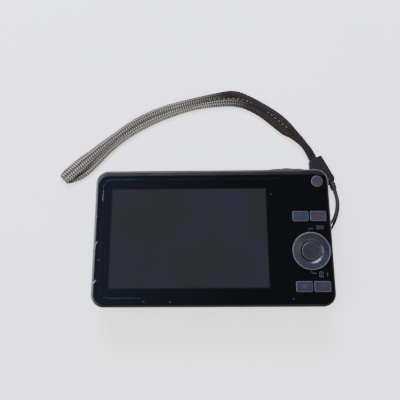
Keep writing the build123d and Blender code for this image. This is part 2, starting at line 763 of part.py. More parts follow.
card_x0 = battery_x0 + 2.6
card_y = battery_y0 + 0.2 + card_height / 2
with BuildPart() as memory_card:
    card_place = (card_x0 + card_width / 2, card_y)
    block(level(card_z0 + 0.1), card_place, (card_width, card_height), card_thickness, 0.7)

with BuildPart() as battery_latch:
    latch_x0 = battery_x0 + 0.3
    latch_x1 = battery_x0 + 1.9
    span(level(card_z0 + 0.15), (latch_x0, battery_y0 - 0.45), (latch_x1, battery_y0 + 5.0), 0.8)
    span(
        level(battery_z1 - 0.8),
        (latch_x0, battery_y0 - 0.45),
        (latch_x1, battery_y0 - 0.15),
        card_z0 + 0.15 + 0.8 - battery_z1 + 0.8,
    )

latch_y1 = -half_h + door_thickness + 1.0
with BuildPart() as battery_door:
    span(downward(-half_h + door_thickness), (hinge_x, door_z0), (door_x1, door_z1), door_thickness)
    disc(level(door_z0), (hinge_x, hinge_y), door_hinge_inset, door_z1 - door_z0)
    for z in (door_mid_z - 2.3, door_mid_z + 1.9):
        span(downward(-half_h + door_thickness + 0.8), (door_x1 - 7.2, z), (door_x1 - 1.2, z + 0.4), 1.0)
    disc(level(0), (hinge_x, hinge_y), 0.4 + pin_gap, rear_z, Mode.SUBTRACT)
    span(
        downward(-half_h + 2),
        (door_x1 - 5.4, door_mid_z - 1.1),
        (door_x1 - 1.8, door_mid_z + 1.1),
        4,
        0.4,
        Mode.SUBTRACT,
    )

with BuildPart() as door_latch:
    span(downward(latch_y1), (door_x1 - 6.4, door_mid_z - 1.6), (door_x1 - 0.7, door_mid_z + 1.6), 0.7)
    span(
        downward(latch_y1 - 0.3),
        (door_x1 - 5.2, door_mid_z - 0.9),
        (door_x1 - 3.4, door_mid_z + 0.9),
        latch_y1 - 0.3 + half_h - 0.05,
        0.2,
    )

with BuildPart() as door_hinge_pin:
    disc(level(front_z + 0.6), (hinge_x, hinge_y), 0.4, door_z1 + 0.8 - front_z - 0.6)


# Connector, tripod socket and strap bar

connector_knuckle = wall - 0.1
connector_pivot = (half_w - connector_knuckle, connector_z0 + connector_knuckle)
with BuildPart() as connector_cover:
    span(
        rightward(half_w - connector_knuckle),
        (connector_y0, connector_pivot[1]),
        (connector_y1, connector_z1),
        connector_knuckle,
    )
    disc(downward(connector_y1), connector_pivot, connector_knuckle, connector_cover_height)

with BuildPart() as usb_socket:
    usb_x = half_w - wall - 6.9
    usb_place = (connector_mid_y + 1.3, 6.5)
    block(rightward(usb_x), usb_place, (6.2, 3.8), 6.0, 0.8)
    block(rightward(usb_x + 1.4), usb_place, (5.4, 3.0), 6.0, 0.6, Mode.SUBTRACT)
    block(rightward(usb_x + 1.2), usb_place, (3.8, 0.6), 4.0)

with BuildPart() as tripod_socket:
    disc(downward(-half_h + 7.0), (socket_x, socket_z), socket_radius, 7.0)
    block(downward(-half_h + 3.4), (socket_x, socket_z), (12.0, 8.8), 2.2, 0.8)
    disc(downward(-half_h + tripod_hole_depth), (socket_x, socket_z), tripod_hole_radius, 10, Mode.SUBTRACT)

with BuildPart() as strap_eyelet:
    disc(level(strap_bar_z), (strap_bar_x, strap_bar_y), strap_bar_radius, strap_bar_length)


# Wrist strap

tab_start = Vector(45.5, 36.6)
tab_run = Vector(0.447, -0.894)
tab_origin = (tab_start.X, body_y + tab_start.Y, 0.2)
tab_plane = Plane(origin=tab_origin, x_dir=(tab_run.X, tab_run.Y, 0), z_dir=(0, 0, 1))
with BuildPart() as strap_tab:
    with BuildSketch(tab_plane) as tab_outline:
        with BuildLine():
            Polyline(
                (0, -tab_width / 2 + tab_flare),
                (3.4, -tab_width / 2 - tab_flare),
                (tab_length - 4.0, -tab_width / 2 - 0.1),
                (tab_length, -1.4),
                (tab_length, 2.2),
                (tab_length - 1.6, tab_width / 2),
                (0, tab_width / 2),
                close=True,
            )
        make_face()
        fillet(tab_outline.vertices(), 1.0)
    extrude(tab_outline.sketch, amount=tab_thickness)
    fillet(strap_tab.edges().group_by(Axis.Z)[-1], 0.7)

bead_centre = (52.7, 23.6, 2.6)
with BuildPart() as strap_crimp:
    with Locations((bead_centre[0], body_y + bead_centre[1], bead_centre[2])):
        Sphere(bead_radius)


def route_tube(route, diameter, name):
    points = [Vector(x, body_y + y, z) for x, y, z in route]
    runs = [points[i + 1] - points[i] for i in range(len(points) - 1)]
    radii = []
    for i in range(len(runs) - 1):
        turn = radians(runs[i].get_angle(runs[i + 1]))
        radii.append(0.45 * min(runs[i].length, runs[i + 1].length) / tan(turn / 2))
    with BuildLine() as centre_line:
        FilletPolyline(*points, radius=radii)
    with BuildSketch(Plane(origin=centre_line.wire() @ 0, z_dir=centre_line.wire() % 0)) as section:
        Circle(diameter / 2)
    length = centre_line.wire().length
    print(name, "length", round(length, 1), "smallest radius", round(min(radii), 2), "runs", len(runs))
    print("  radii", [round(radius, 1) for radius in radii])
    sweep(section.sketch, path=centre_line.wire())
    return length


cord_route = [
    (53.5, 22.6, 2.5),
    (54.3, 18.0, 3.7),
    (53.6, 13.2, 5.2),
    (51.9, 8.8, 6.3),
    (49.9, 4.9, 6.9),
    (47.9, 2.1, 7.2),
    (45.05, 2.35, 7.3),
    (45.05, 4.65, 7.9),
    (47.6, 4.9, 8.3),
    (49.6, 7.2, 8.3),
    (51.4, 10.8, 7.5),
    (52.7, 15.0, 6.0),
    (53.1, 19.2, 4.4),
    (52.7, 22.4, 3.4),
]
with BuildPart() as strap_cord:
    cord_length = route_tube(cord_route, cord_diameter, "strap cord")

band_route = [
    (46.9, 36.7, 1.7),
    (44.6, 41.3, 1.7),
    (38.9, 47.2, 1.6),
    (32.2, 54.4, 1.5),
    (24.2, 61.2, 1.6),
    (14.8, 66.5, 1.5),
    (4.5, 67.5, 1.5),
    (-8.0, 64.7, 1.6),
    (-22.0, 60.6, 1.5),
    (-35.5, 53.9, 1.5),
    (-46.5, 44.5, 1.6),
    (-55.0, 35.9, 1.5),
    (-60.4, 32.0, 1.5),
    (-65.2, 28.2, 1.6),
    (-62.4, 25.0, 1.6),
    (-57.6, 28.6, 1.5),
    (-52.6, 32.8, 1.5),
    (-43.9, 42.0, 1.6),
    (-33.8, 50.4, 1.5),
    (-21.0, 57.2, 1.5),
    (-7.5, 61.3, 1.6),
    (4.6, 64.2, 1.5),
    (13.5, 63.2, 1.5),
    (22.0, 58.4, 1.6),
    (29.6, 51.5, 1.5),
    (35.6, 44.6, 1.6),
    (40.6, 39.6, 1.7),
    (44.6, 35.6, 1.7),
]
with BuildPart() as wrist_band:
    band_length = route_tube(band_route, band_diameter, "wrist band")


pieces = {
    "front_cover": front_cover,
    "rear_cover": rear_cover,
    "rear_window": rear_window,
    "rear_panel": rear_panel,
    "top_plate": top_plate,
    "main_frame": main_frame,
    "frame_screws": frame_screws,
    "case_screws": case_screws,
    "lcd_module": lcd_module,
    "key_board": key_board,
    "main_board": main_board,
    "lens_ring": lens_ring,
    "lens_housing": lens_housing,
    "cam_ring": cam_ring,
    "outer_barrel": outer_barrel,
    "middle_barrel": middle_barrel,
    "inner_barrel": inner_barrel,
    "upper_barrier_blade": upper_barrier_blade,
    "lower_barrier_blade": lower_barrier_blade,
    "front_lens": front_lens,
    "focus_guide_rods": focus_guide_rods,
    "focus_group": focus_group,
    "image_sensor": image_sensor,
    "zoom_motor": zoom_motor,
    "reduction_gear": reduction_gear,
    "motor_pinion": motor_pinion,
    "movie_button": movie_button,
    "ring_pad": ring_pad,
    "control_ring": control_ring,
    "set_button": set_button,
    "shutter_base": shutter_base,
    "zoom_lever": zoom_lever,
    "shutter_button": shutter_button,
    "power_button": power_button,
    "release_board": release_board,
    "flash_window": flash_window,
    "flash_unit": flash_unit,
    "flash_capacitor": flash_capacitor,
    "af_lamp": af_lamp,
    "speaker": speaker,
    "battery_case": battery_case,
    "battery": battery,
    "battery_contacts": battery_contacts,
    "memory_card": memory_card,
    "battery_latch": battery_latch,
    "battery_door": battery_door,
    "door_latch": door_latch,
    "door_hinge_pin": door_hinge_pin,
    "connector_cover": connector_cover,
    "usb_socket": usb_socket,
    "tripod_socket": tripod_socket,
    "strap_eyelet": strap_eyelet,
    "strap_tab": strap_tab,
    "strap_crimp": strap_crimp,
    "strap_cord": strap_cord,
    "wrist_band": wrist_band,
    **keys,
}
os.makedirs("parts", exist_ok=True)
for name, piece in pieces.items():
    piece.part.label = name
    export_step(piece.part, f"parts/{name}.step")
for name, length, diameter in (
    ("strap_cord", cord_length, cord_diameter),
    ("wrist_band", band_length, band_diameter),
):
    print(name, "volume over section times length", pieces[name].part.volume / (length * pi * diameter**2 / 4))
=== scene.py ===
import bpy
from math import ceil, cos, pi, radians, sin, sqrt
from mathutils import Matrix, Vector


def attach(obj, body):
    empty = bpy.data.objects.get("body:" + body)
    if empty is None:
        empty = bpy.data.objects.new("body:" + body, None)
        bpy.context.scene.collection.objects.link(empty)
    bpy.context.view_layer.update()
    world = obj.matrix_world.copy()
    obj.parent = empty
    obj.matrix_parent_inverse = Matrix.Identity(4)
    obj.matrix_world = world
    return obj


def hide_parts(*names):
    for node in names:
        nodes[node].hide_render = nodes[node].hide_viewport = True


# Compact camera on its front, rear screen up, with its wrist strap laid out behind it.

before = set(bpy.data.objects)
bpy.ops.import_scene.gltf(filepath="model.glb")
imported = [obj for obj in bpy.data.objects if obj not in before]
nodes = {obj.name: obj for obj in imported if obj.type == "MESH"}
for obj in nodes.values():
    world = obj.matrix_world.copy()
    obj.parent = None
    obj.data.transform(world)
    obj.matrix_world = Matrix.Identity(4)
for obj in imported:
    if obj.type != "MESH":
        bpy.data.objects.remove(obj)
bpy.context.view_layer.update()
scene = bpy.context.scene
mm = 0.001
bodyShift = -0.85  # routes and marks are measured from the casing's centre, this far along Y, mm


def place(x, y, z):
    return Vector((x, y + bodyShift, z)) * mm


# Camera and cords

viewSettings = {
    "lens": 40.35,
    "sensor": 36,
    "place": (-1.48, -27.30, 191.54),
    "turn": (13.49, 1.04, -0.48),
}
cameraData = bpy.data.cameras.new("productCamera")
cameraData.lens = viewSettings["lens"]
cameraData.sensor_width = viewSettings["sensor"]
cameraData.clip_start = 0.005
productCamera = bpy.data.objects.new("productCamera", cameraData)
scene.collection.objects.link(productCamera)
productCamera.location = place(*viewSettings["place"])
productCamera.rotation_mode = "ZYX"
productCamera.rotation_euler = [radians(angle) for angle in viewSettings["turn"]]
scene.camera = productCamera
print("camera ready")


def splinePoints(name, route):
    curve = bpy.data.curves.new(name, "CURVE")
    curve.dimensions = "3D"
    curve.resolution_u = 24
    spline = curve.splines.new("NURBS")
    spline.points.add(len(route) - 1)
    for point, (x, y, z) in zip(spline.points, route):
        point.co = (*place(x, y, z), 1)
    spline.order_u = 3
    spline.use_endpoint_u = True
    carrier = bpy.data.objects.new(name, curve)
    scene.collection.objects.link(carrier)
    settled = carrier.evaluated_get(bpy.context.evaluated_depsgraph_get())
    line = bpy.data.meshes.new_from_object(settled)
    points = [vertex.co.copy() for vertex in line.vertices]
    bpy.data.objects.remove(carrier)
    bpy.data.curves.remove(curve)
    bpy.data.meshes.remove(line)
    return points


def evenPoints(points, step):
    travelled = [0.0]
    for before, after in zip(points, points[1:]):
        travelled.append(travelled[-1] + (after - before).length)
    count = ceil(travelled[-1] / step)
    even, row = [], 0
    for index in range(count + 1):
        target = travelled[-1] * index / count
        while row < len(points) - 2 and travelled[row + 1] < target:
            row += 1
        share = (target - travelled[row]) / (travelled[row + 1] - travelled[row])
        even.append(points[row].lerp(points[row + 1], share))
    return even, travelled[-1]


def between(rows, distance):
    for low, high in zip(rows, rows[1:]):
        if distance <= high[0]:
            share = max(0.0, (distance - low[0]) / (high[0] - low[0]))
            share = share * share * (3 - 2 * share)
            return [a + (b - a) * share for a, b in zip(low[1:], high[1:])]
    return rows[-1][1:]


def linkMesh(name, mesh):
    piece = bpy.data.objects.new(name, mesh)
    scene.collection.objects.link(piece)
    return piece


def meshFrom(name, vertices, faces, smooth=True):
    mesh = bpy.data.meshes.new(name)
    mesh.from_pydata([tuple(v) for v in vertices], [], faces)
    mesh.validate()
    mesh.shade_smooth() if smooth else mesh.shade_flat()
    return linkMesh(name, mesh)


levelling = 0.12  # how quickly a flat section comes back to lie level after a fold
leastFlat = 0.6  # a run whose direction is less level than this keeps its own twist


def sweptTube(name, points, around, sectionAt):
    # sectionAt gives, for a distance in mm and an angle, (across, up, v), all in mm
    vertices, faces, uvs = [], [], []
    length = 0.0
    for index, point in enumerate(points):
        ahead = points[min(index + 1, len(points) - 1)]
        behind = points[max(index - 1, 0)]
        along = (ahead - behind).normalized()
        if index:
            length += (point - points[index - 1]).length
            side = (side - along * side.dot(along)).normalized()
        else:
            side = Vector((0, 0, 1)).cross(along).normalized()
        flat = Vector((0, 0, 1)).cross(along)
        if flat.length > leastFlat:
            flat = flat.normalized() * (1 if flat.dot(side) > 0 else -1)
            side = side.lerp(flat, levelling).normalized()
        up = along.cross(side)
        for turn in range(around):
            across, rise, v = sectionAt(length / mm, 2 * pi * turn / around)
            vertices.append(point + side * across * mm + up * rise * mm)
            uvs.append((length / mm, v))
    vertices += [points[0], points[-1]]
    rings = len(points)
    for ring in range(rings - 1):
        for turn in range(around):
            a = ring * around + turn
            b = ring * around + (turn + 1) % around
            faces.append((a, b, b + around, a + around))
    last = (rings - 1) * around
    for turn in range(around):
        after = (turn + 1) % around
        faces.append((rings * around, after, turn))
        faces.append((rings * around + 1, last + turn, last + after))
    piece = meshFrom(name, vertices, faces)
    layer = piece.data.uv_layers.new(name="along")
    _, _, closing = sectionAt(0, 2 * pi)
    for polygon in piece.data.polygons:
        turns = [piece.data.loops[loop].vertex_index % around for loop in polygon.loop_indices]
        wraps = 0 in turns and around - 1 in turns
        for loop in polygon.loop_indices:
            vertex = piece.data.loops[loop].vertex_index
            u, v = uvs[vertex] if vertex < len(uvs) else (0, 0)
            layer.data[loop].uv = (u, closing if wraps and vertex % around == 0 else v)
    return piece


# Wrist band: one flat braided band, folded at its far end

bandShape = {
    "route": [
        (46.2, 35.9, 1.5),
        (44.9, 40.0, 1.5),
        (41.0, 45.0, 1.5),
        (37.4, 49.4, 1.6),
        (33.6, 53.9, 1.7),
        (29.4, 57.8, 1.7),
        (24.2, 61.4, 1.6),
        (18.6, 64.9, 1.6),
        (11.2, 68.5, 1.6),
        (4.6, 67.5, 1.6),
        (-8.0, 64.9, 1.6),
        (-22.0, 61.2, 1.6),
        (-35.0, 55.0, 1.6),
        (-46.5, 45.3, 1.7),
        (-54.2, 38.5, 2.0),
        (-60.6, 32.5, 2.5),
        (-65.0, 28.5, 2.7),
        (-65.4, 28.0, 0.9),
        (-61.4, 29.2, 0.8),
        (-57.4, 30.5, 0.8),
        (-53.8, 33.7, 0.9),
        (-49.0, 38.8, 1.0),
        (-44.4, 43.6, 1.0),
        (-38.6, 48.5, 1.0),
        (-31.0, 53.3, 1.0),
        (-21.0, 58.2, 1.0),
        (-8.5, 62.5, 1.0),
        (4.3, 64.5, 1.0),
        (13.9, 64.3, 1.0),
        (22.2, 60.0, 1.0),
        (28.3, 54.8, 1.0),
        (32.5, 50.6, 1.1),
        (36.4, 47.6, 1.2),
        (39.6, 44.8, 1.3),
        (42.5, 41.0, 1.4),
        (44.4, 35.6, 1.5),
    ],
    # distance, width, thickness, crown, roll in degrees
    "sections": [
        (0, 1.9, 1.5, 0.0, 4),
        (7, 2.0, 1.5, 0.0, 4),
        (13, 2.7, 1.5, 0.1, 4),
        (22, 3.6, 1.4, 0.3, 4),
        (50, 3.9, 1.4, 0.3, 4),
        (66, 3.6, 1.4, 0.4, 4),
        (104, 3.5, 1.4, 0.5, 4),
        (118, 4.6, 1.3, 0.8, 3),
        (128, 6.0, 1.2, 0.6, 0),
        (133, 5.8, 1.1, 0.0, 0),
        (139, 4.9, 1.2, 0.0, 0),
        (150, 4.0, 1.4, 0.0, 0),
        (164, 3.4, 1.4, 0.0, 0),
        (205, 3.4, 1.5, 0.0, 0),
        (222, 4.0, 1.5, 0.0, 0),
        (246, 4.2, 1.5, 0.0, 0),
        (252, 3.9, 1.5, 0.0, 0),
        (257, 2.5, 1.6, 0.0, 0),
        (264, 1.9, 1.5, 0.0, 0),
        (272, 1.8, 1.5, 0.0, 0),
    ],
    # how square the section is across and up: 1 is an ellipse, less is squarer
    "squareAcross": 0.7,
    "squareUp": 0.85,
    # the braid: relief of a yarn, width and count of its columns, pitch and slope of the yarns
    "yarn": 0.09,
    "column": 0.56,
    "columns": 12,
    "pitch": 1.05,
    "slope": 1.0,
    # shares of the relief that fill each column and sink the braid into the section
    "fill": 0.4,
    "sink": 0.8,
    "around": 48,
    "step": 0.17,
}


def bandSection(distance, angle):
    width, thick, crown, roll = between(bandShape["sections"], distance)
    c, s = cos(angle), sin(angle)
    across = width / 2 * (abs(c) ** bandShape["squareAcross"]) * (1 if c > 0 else -1)
    rise = thick / 2 * (abs(s) ** bandShape["squareUp"]) * (1 if s > 0 else -1)
    if s > 0:
        rise += crown * (1 - abs(across) * 2 / width)
    column = bandShape["column"]
    v = angle / (2 * pi) * bandShape["columns"] * column
    zig = abs((v / column) % 2 - 1) * column
    wave = sin(2 * pi * (distance + bandShape["slope"] * zig) / bandShape["pitch"])
    groove = abs(sin(pi * v / column))
    lift = (0.5 + 0.5 * wave) * groove + bandShape["fill"] * groove - bandShape["sink"]
    lift = bandShape["yarn"] * lift
    reach = sqrt(across * across + rise * rise)
    across *= 1 + lift / reach
    rise *= 1 + lift / reach
    turn = radians(roll)
    return across * cos(turn) + rise * sin(turn), -across * sin(turn) + rise * cos(turn), v


bandRoute = splinePoints("bandLine", bandShape["route"])
bandLine, bandLength = evenPoints(bandRoute, bandShape["step"] * mm)
wristBand = sweptTube("wristBand", bandLine, bandShape["around"], bandSection)
print("band", round(bandLength / mm, 1), "mm")


# Cord: a thin braided loop round the strap bar

cordShape = {
    "route": [
        (53.3, 23.4, 2.5),
        (54.3, 18.0, 3.6),
        (53.7, 13.2, 5.0),
        (52.1, 8.8, 6.2),
        (50.0, 4.9, 6.9),
        (47.9, 2.1, 7.2),
        (45.05, 2.35, 7.3),
        (45.05, 4.65, 7.9),
        (47.7, 4.6, 8.2),
        (49.75, 6.9, 7.9),
        (51.7, 10.6, 7.0),
        (52.9, 14.8, 5.7),
        (53.2, 19.2, 4.2),
        (52.3, 23.2, 3.1),
    ],
    "radius": 0.54,
    # the braid: pairs of yarns, their pitch, and the shares of the radius they sit at and weave by
    "yarns": 4,
    "pitch": 1.6,
    "core": 0.97,
    "weave": 0.05,
    "around": 24,
    "step": 0.12,
}


def cordSection(distance, angle):
    lay = 2 * pi * distance / cordShape["pitch"]
    weave = sin(cordShape["yarns"] * angle + lay) * sin(cordShape["yarns"] * angle - lay)
    radius = cordShape["radius"] * (cordShape["core"] + cordShape["weave"] * weave)
    return radius * cos(angle), radius * sin(angle), angle * cordShape["radius"]


cordRoute = splinePoints("cordLine", cordShape["route"])
cordLine, cordLength = evenPoints(cordRoute, cordShape["step"] * mm)
strapCord = sweptTube("strapCord", cordLine, cordShape["around"], cordSection)
print("cord", round(cordLength / mm, 1), "mm")


# Materials


def linear(hexText):
    channels = [int(hexText[i : i + 2], 16) / 255 for i in (0, 2, 4)]
    return (*[c / 12.92 if c <= 0.04045 else ((c + 0.055) / 1.055) ** 2.4 for c in channels], 1)


def addNode(tree, kind, sockets=None, **settings):
    node = tree.nodes.new(kind)
    for name, value in settings.items():
        setattr(node, name, value)
    for name, value in (sockets or {}).items():
        socket = node.inputs[name]
        if isinstance(value, bpy.types.NodeSocket):
            tree.links.new(value, socket)
        else:
            socket.default_value = value
    return node


def newMaterial(name, **sockets):
    material = bpy.data.materials.new(name)
    material.use_nodes = True
    tree = material.node_tree
    tree.nodes.clear()
    inputs = {key.replace("_", " "): value for key, value in sockets.items()}
    shader = addNode(tree, "ShaderNodeBsdfPrincipled", inputs)
    addNode(tree, "ShaderNodeOutputMaterial", {"Surface": shader.outputs[0]})
    return material, tree, shader


def ramp(tree, factor, stops):
    node = addNode(tree, "ShaderNodeValToRGB", {"Fac": factor})
    elements = node.color_ramp.elements
    while len(elements) < len(stops):
        elements.new(0.5)
    for element, (position, colour) in zip(elements, stops):
        element.position = position
        element.color = colour
    return node.outputs["Color"]


def objectPlace(tree):
    return addNode(tree, "ShaderNodeTexCoord").outputs["Object"]


def speckle(tree, vector, size, detail=3.0, roughness=0.55):
    # size is the pattern's real size in millimetres
    node = addNode(
        tree,
        "ShaderNodeTexNoise",
        {"Vector": vector, "Scale": 1 / (size * mm), "Detail": detail, "Roughness": roughness},
    )
    return node.outputs["Fac"]


def rescaled(tree, value, span, low=0.0, high=1.0):
    # the span of value becomes low to high, and is held there past its ends
    node = addNode(
        tree,
        "ShaderNodeMapRange",
        {"Value": value, "From Min": span[0], "From Max": span[1], "To Min": low, "To Max": high},
    )
    return node.outputs["Result"]


def spread(tree, value, low, high):
    return rescaled(tree, value, (0.25, 0.75), low, high)


def relief(tree, height, depth, strength=1.0):
    node = addNode(
        tree, "ShaderNodeBump", {"Height": height, "Distance": depth * mm, "Strength": strength}
    )
    return node.outputs["Normal"]


def moulded(name, dark, light, blotch, grain, depth, gloss, **sockets):
    # two close tones in soft blotches, a fine surface grain and a roughness that wanders
    material, tree, shader = newMaterial(name, **sockets)
    at = objectPlace(tree)
    tone = ramp(tree, speckle(tree, at, blotch), [(0.35, linear(dark)), (0.65, linear(light))])
    tree.links.new(tone, shader.inputs["Base Color"])
    rough = spread(tree, speckle(tree, at, blotch * 0.4), *gloss)
    tree.links.new(rough, shader.inputs["Roughness"])
    tree.links.new(relief(tree, speckle(tree, at, grain, 2.0), depth), shader.inputs["Normal"])
    return material


def maths(tree, operation, *values, clamp=False):
    node = addNode(tree, "ShaderNodeMath", operation=operation, use_clamp=clamp)
    for socket, value in zip(node.inputs, values):
        if isinstance(value, bpy.types.NodeSocket):
            tree.links.new(value, socket)
        else:
            socket.default_value = value
    return node.outputs[0]


def nearSpot(tree, at, spot, radius):
    # 1 at a spot on the surface, 0 past its radius in mm, which a ragged edge takes in and out
    leastShare, raggedShare = 0.55, 0.9
    gap = addNode(tree, "ShaderNodeVectorMath", {0: at, 1: place(*spot)}, operation="DISTANCE")
    ragged = maths(
        tree,
        "MULTIPLY_ADD",
        speckle(tree, at, 0.5),
        radius * mm * raggedShare,
        radius * mm * leastShare,
    )
    return maths(tree, "LESS_THAN", gap.outputs["Value"], ragged)


def blended(tree, factor, a, b):
    node = addNode(tree, "ShaderNodeMix", data_type="RGBA")
    node.inputs[0].default_value = 0.5
    tree.links.new(factor, node.inputs[0])
    for socket, value in ((node.inputs[6], a), (node.inputs[7], b)):
        if isinstance(value, bpy.types.NodeSocket):
            tree.links.new(value, socket)
        else:
            socket.default_value = value
    return node.outputs[2]


# Painted aluminium shell: satin, almost black, rubbed to bare metal in a few chips. Painted shade
# darkens it towards the near right corner, and a painted highlight pales it along the left side.
shellFinish = {
    "dark": "251f1d",
    "light": "312a27",
    # the low tone is painted shade, deepest towards the near right corner
    "low": "0c0b0b",
    "shadeY": (-0.026, 0.012),
    "shadeX": (0.042, -0.006),
    "leastUnshaded": 0.25,
    "bare": "7f837f",
    # the edge tone is a painted highlight along the left side
    "edge": "5a5f57",
    "highlightX": (-0.0425, -0.0468),
    "mostHighlight": 0.75,
    "gloss": (0.34, 0.48),
    "chips": [
        ((-46.5, -4.4, 16.6), 0.3),
        ((-46.6, -18.0, 16.5), 0.34),
        ((-46.9, 8.6, 16.2), 0.22),
    ],
}
shellMetal, tree, shader = newMaterial("satinPaintedAluminium", Metallic=0.5, IOR=1.5)
at = objectPlace(tree)
paint = ramp(
    tree,
    speckle(tree, at, 9.0),
    [(0.35, linear(shellFinish["dark"])), (0.65, linear(shellFinish["light"]))],
)
xyz = addNode(tree, "ShaderNodeSeparateXYZ", {"Vector": at})
# painted shade: the paint darkens to the low tone towards the near right corner
unshadedFar = rescaled(tree, xyz.outputs["Y"], shellFinish["shadeY"])
unshadedLeft = rescaled(tree, xyz.outputs["X"], shellFinish["shadeX"], shellFinish["leastUnshaded"])
paint = blended(tree, maths(tree, "MULTIPLY", unshadedFar, unshadedLeft), linear(shellFinish["low"]), paint)
# painted highlight: the paint pales to the edge tone along the left side
leftHighlight = rescaled(tree, xyz.outputs["X"], shellFinish["highlightX"], high=shellFinish["mostHighlight"])
paint = blended(tree, leftHighlight, paint, linear(shellFinish["edge"]))
for spot, radius in shellFinish["chips"]:
    paint = blended(tree, nearSpot(tree, at, spot, radius), paint, linear(shellFinish["bare"]))
tree.links.new(paint, shader.inputs["Base Color"])
rough = spread(tree, speckle(tree, at, 2.5), *shellFinish["gloss"])
tree.links.new(rough, shader.inputs["Roughness"])
tree.links.new(relief(tree, speckle(tree, at, 0.25, 2.0), 0.006), shader.inputs["Normal"])

# Cast acrylic window, back-printed black round a display that is switched off: deep gloss with
# faint smears and specks of dust, and a painted reflection that tints the black cool towards the
# left
windowFinish = {
    "low": (-40.45, -20.4),
    "high": (22.0, 19.5),
    "border": "050607",
    # the cool border tone is a painted reflection, strongest on the left
    "borderReflection": "11151b",
    "reflectionX": (-0.047, 0.01),
    "displayWarm": "242522",
    "displayCool": "27242c",
    "displayEdge": 0.7,
    "dust": "5a5c62",
    "dustSpacing": 3.2,
    "dustReach": 0.022,
    "dustShare": 0.2,
    "dustRoughness": 0.5,
    "gloss": (0.035, 0.12),
}


def insideSpan(tree, value, low, high, soft):
    rise = maths(tree, "DIVIDE", maths(tree, "SUBTRACT", value, low * mm), soft * mm, clamp=True)
    fall = maths(tree, "DIVIDE", maths(tree, "SUBTRACT", high * mm, value), soft * mm, clamp=True)
    return maths(tree, "MULTIPLY", rise, fall)


def acrylic(name, showsDisplay):
    material, tree, shader = newMaterial(name, IOR=1.49)
    at = objectPlace(tree)
    xyz = addNode(tree, "ShaderNodeSeparateXYZ", {"Vector": at})
    # painted reflection: the black turns cool towards the left
    pastReflection = rescaled(tree, xyz.outputs["X"], windowFinish["reflectionX"])
    cool, black = linear(windowFinish["borderReflection"]), linear(windowFinish["border"])
    tone = blended(tree, pastReflection, cool, black)
    if showsDisplay:
        (x0, y0), (x1, y1) = windowFinish["low"], windowFinish["high"]
        edge = windowFinish["displayEdge"]
        warm, cool = linear(windowFinish["displayWarm"]), linear(windowFinish["displayCool"])
        display = ramp(tree, speckle(tree, at, 22.0, 1.0), [(0.38, warm), (0.62, cool)])
        lit = maths(
            tree,
            "MULTIPLY",
            insideSpan(tree, xyz.outputs["X"], x0, x1, edge),
            insideSpan(tree, xyz.outputs["Y"], y0 + bodyShift, y1 + bodyShift, edge),
        )
        tone = blended(tree, lit, tone, display)
    scale = 1 / (windowFinish["dustSpacing"] * mm)
    specks = addNode(tree, "ShaderNodeTexVoronoi", {"Vector": at, "Scale": scale})
    dust = maths(tree, "LESS_THAN", specks.outputs["Distance"], windowFinish["dustReach"])
    dusted = maths(tree, "MULTIPLY", dust, windowFinish["dustShare"])
    tone = blended(tree, dusted, tone, linear(windowFinish["dust"]))
    tree.links.new(tone, shader.inputs["Base Color"])
    smear = spread(tree, speckle(tree, at, 7.0, 4.0), *windowFinish["gloss"])
    rough = maths(tree, "MULTIPLY_ADD", dust, windowFinish["dustRoughness"], smear)
    tree.links.new(rough, shader.inputs["Roughness"])
    tree.links.new(relief(tree, speckle(tree, at, 14.0, 1.0), 0.01, 0.3), shader.inputs["Normal"])
    return material


windowAcrylic = acrylic("backPrintedAcrylic", True)
panelAcrylic = acrylic("glossBlackAcrylic", False)


def highlightedEdge(material, tint, where):
    # a painted highlight on an edge: where(tree, at) gives 1 on the edge
    tree = material.node_tree
    shader = next(node for node in tree.nodes if node.type == "BSDF_PRINCIPLED")
    paint = shader.inputs["Base Color"].links[0].from_socket
    at = objectPlace(tree)
    # painted highlight: the paint turns lighter on the edge
    edgeHighlight = maths(tree, "MULTIPLY", where(tree, at), spread(tree, speckle(tree, at, 1.4), 0.45, 1.0))
    tree.links.new(blended(tree, edgeHighlight, paint, linear(tint)), shader.inputs["Base Color"])
    return material


def betweenHeights(low, high):
    def where(tree, at):
        z = addNode(tree, "ShaderNodeSeparateXYZ", {"Vector": at}).outputs["Z"]
        return insideSpan(tree, z, low, high, 0.04)

    return where


def roundAxis(centre, low, high):
    def where(tree, at):
        flat = addNode(tree, "ShaderNodeVectorMath", {0: at, 1: (1, 1, 0)}, operation="MULTIPLY")
        axis = place(centre[0], centre[1], 0)
        ends = {0: flat.outputs[0], 1: axis}
        gap = addNode(tree, "ShaderNodeVectorMath", ends, operation="DISTANCE")
        return insideSpan(tree, gap.outputs["Value"], low, high, 0.12)

    return where


# Painted ABS controls: smooth satin, a little violet in the grey, with a painted highlight along
# the top edges where they roll over
keyFinish = {
    "tones": ("21242c", "292c36"),
    "blotch": 3.0,
    "gloss": (0.32, 0.44),
    "highlightTint": "5f6373",
    "where": betweenHeights(17.14, 17.395),
}
setFinish = {
    "tones": ("1e1e23", "25252a"),
    "blotch": 4.0,
    "gloss": (0.3, 0.42),
    "highlightTint": "62636f",
    "where": betweenHeights(17.05, 17.29),
}
ringFinish = {
    "tones": ("1e1e24", "26262c"),
    "blotch": 5.0,
    "gloss": (0.27, 0.38),
    "highlightTint": "62636f",
    "where": roundAxis((38.4, -6.1), 6.95, 7.5),
}


def edgeLitAbs(name, finish):
    tones, blotch, gloss = finish["tones"], finish["blotch"], finish["gloss"]
    plastic = moulded(name, *tones, blotch, 0.12, 0.004, gloss, IOR=1.5)
    return highlightedEdge(plastic, finish["highlightTint"], finish["where"])


keyPlastic = edgeLitAbs("satinPaintedAbs", keyFinish)
setPlastic = edgeLitAbs("satinSetAbs", setFinish)
ringPlastic = edgeLitAbs("satinRingAbs", ringFinish)

